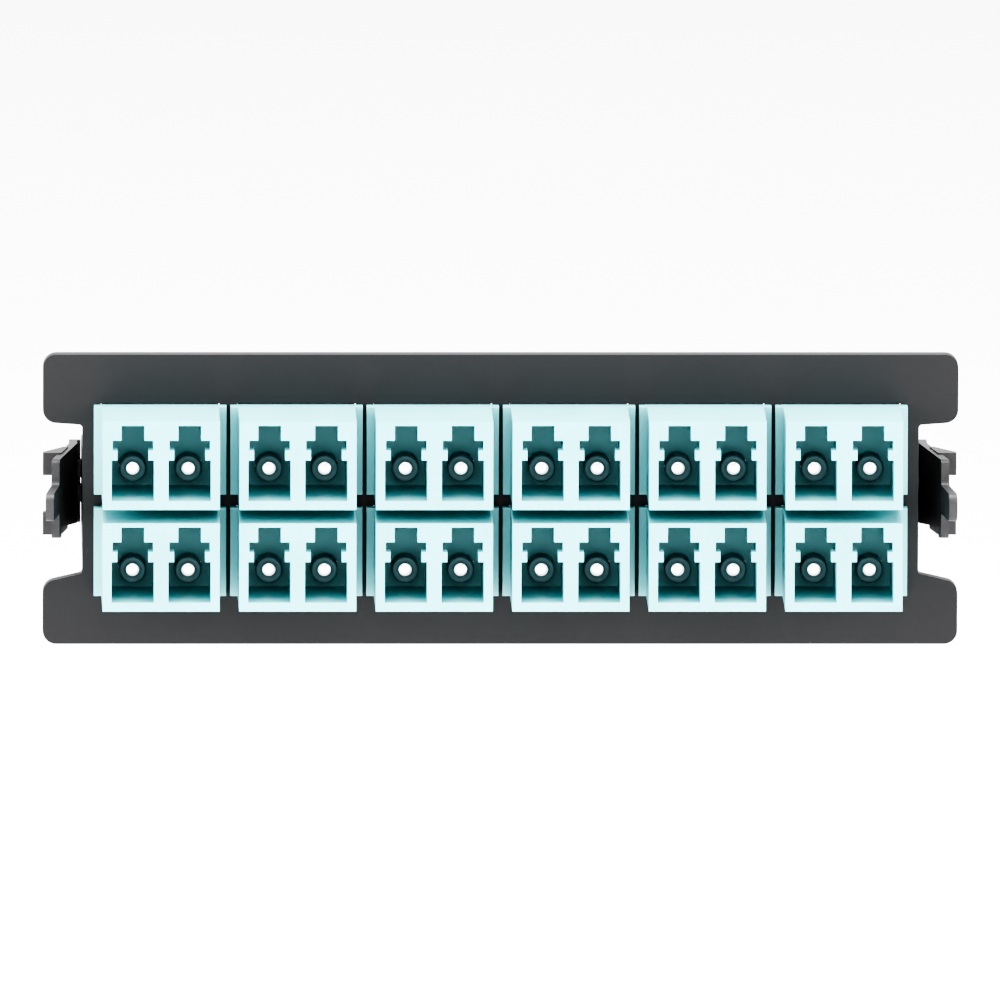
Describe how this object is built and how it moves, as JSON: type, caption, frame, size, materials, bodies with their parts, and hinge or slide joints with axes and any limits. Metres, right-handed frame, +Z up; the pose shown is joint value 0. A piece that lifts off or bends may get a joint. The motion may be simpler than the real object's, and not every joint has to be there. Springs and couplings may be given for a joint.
{
  "type": "fibre adapter plate",
  "caption": "Long black moulded plate carrying close rows of aqua duplex fibre adapters, with a finger-release snap latch standing in a notch at each end.",
  "frame": {"origin": "centre of the frame's rear seating plane, which lies on the front of the panel", "axes": "+X along the plate to the right seen from the front, +Y to the rear into the panel, +Z up, keyways upwards"},
  "size_m": [0.101, 0.0295, 0.0322],
  "materials": {
    "frame_plastic": "fine satin moulded texture, black",
    "latch_plastic": "smooth satin black",
    "adapter_plastic": "smooth satin aqua",
    "clip_steel": "stainless spring strip",
    "sleeve_ceramic": "polished white ceramic"
  },
  "bodies": {
    "frame": {"adapter_frame": "frame_plastic", "housing_row_1_column_1": "adapter_plastic", "sleeve_holders_row_1_column_1": "adapter_plastic", "clip_row_1_column_1": "clip_steel", "sleeves_row_1_column_1": "sleeve_ceramic", "housing_row_1_column_2": "adapter_plastic", "sleeve_holders_row_1_column_2": "adapter_plastic", "clip_row_1_column_2": "clip_steel", "sleeves_row_1_column_2": "sleeve_ceramic", "housing_row_1_column_3": "adapter_plastic", "sleeve_holders_row_1_column_3": "adapter_plastic", "clip_row_1_column_3": "clip_steel", "sleeves_row_1_column_3": "sleeve_ceramic", "housing_row_1_column_4": "adapter_plastic", "sleeve_holders_row_1_column_4": "adapter_plastic", "clip_row_1_column_4": "clip_steel", "sleeves_row_1_column_4": "sleeve_ceramic", "housing_row_1_column_5": "adapter_plastic", "sleeve_holders_row_1_column_5": "adapter_plastic", "clip_row_1_column_5": "clip_steel", "sleeves_row_1_column_5": "sleeve_ceramic", "housing_row_1_column_6": "adapter_plastic", "sleeve_holders_row_1_column_6": "adapter_plastic", "clip_row_1_column_6": "clip_steel", "sleeves_row_1_column_6": "sleeve_ceramic", "housing_row_2_column_1": "adapter_plastic", "sleeve_holders_row_2_column_1": "adapter_plastic", "clip_row_2_column_1": "clip_steel", "sleeves_row_2_column_1": "sleeve_ceramic", "housing_row_2_column_2": "adapter_plastic", "sleeve_holders_row_2_column_2": "adapter_plastic", "clip_row_2_column_2": "clip_steel", "sleeves_row_2_column_2": "sleeve_ceramic", "housing_row_2_column_3": "adapter_plastic", "sleeve_holders_row_2_column_3": "adapter_plastic", "clip_row_2_column_3": "clip_steel", "sleeves_row_2_column_3": "sleeve_ceramic", "housing_row_2_column_4": "adapter_plastic", "sleeve_holders_row_2_column_4": "adapter_plastic", "clip_row_2_column_4": "clip_steel", "sleeves_row_2_column_4": "sleeve_ceramic", "housing_row_2_column_5": "adapter_plastic", "sleeve_holders_row_2_column_5": "adapter_plastic", "clip_row_2_column_5": "clip_steel", "sleeves_row_2_column_5": "sleeve_ceramic", "housing_row_2_column_6": "adapter_plastic", "sleeve_holders_row_2_column_6": "adapter_plastic", "clip_row_2_column_6": "clip_steel", "sleeves_row_2_column_6": "sleeve_ceramic"},
    "left_latch": {"latch_left": "latch_plastic"},
    "right_latch": {"latch_right": "latch_plastic"}
  },
  "joints": [
    {"name": "left_latch_press", "type": "hinge", "parent": "frame", "child": "left_latch", "pos_m": [-0.04555, 0.0124, 0], "axis": [0, 0, 1], "range_deg": [0, 8], "stiffness_Nm_per_rad": 0.72},
    {"name": "right_latch_press", "type": "hinge", "parent": "frame", "child": "right_latch", "pos_m": [0.04555, 0.0124, 0], "axis": [0, 0, -1], "range_deg": [0, 8], "stiffness_Nm_per_rad": 0.72}
  ]
}
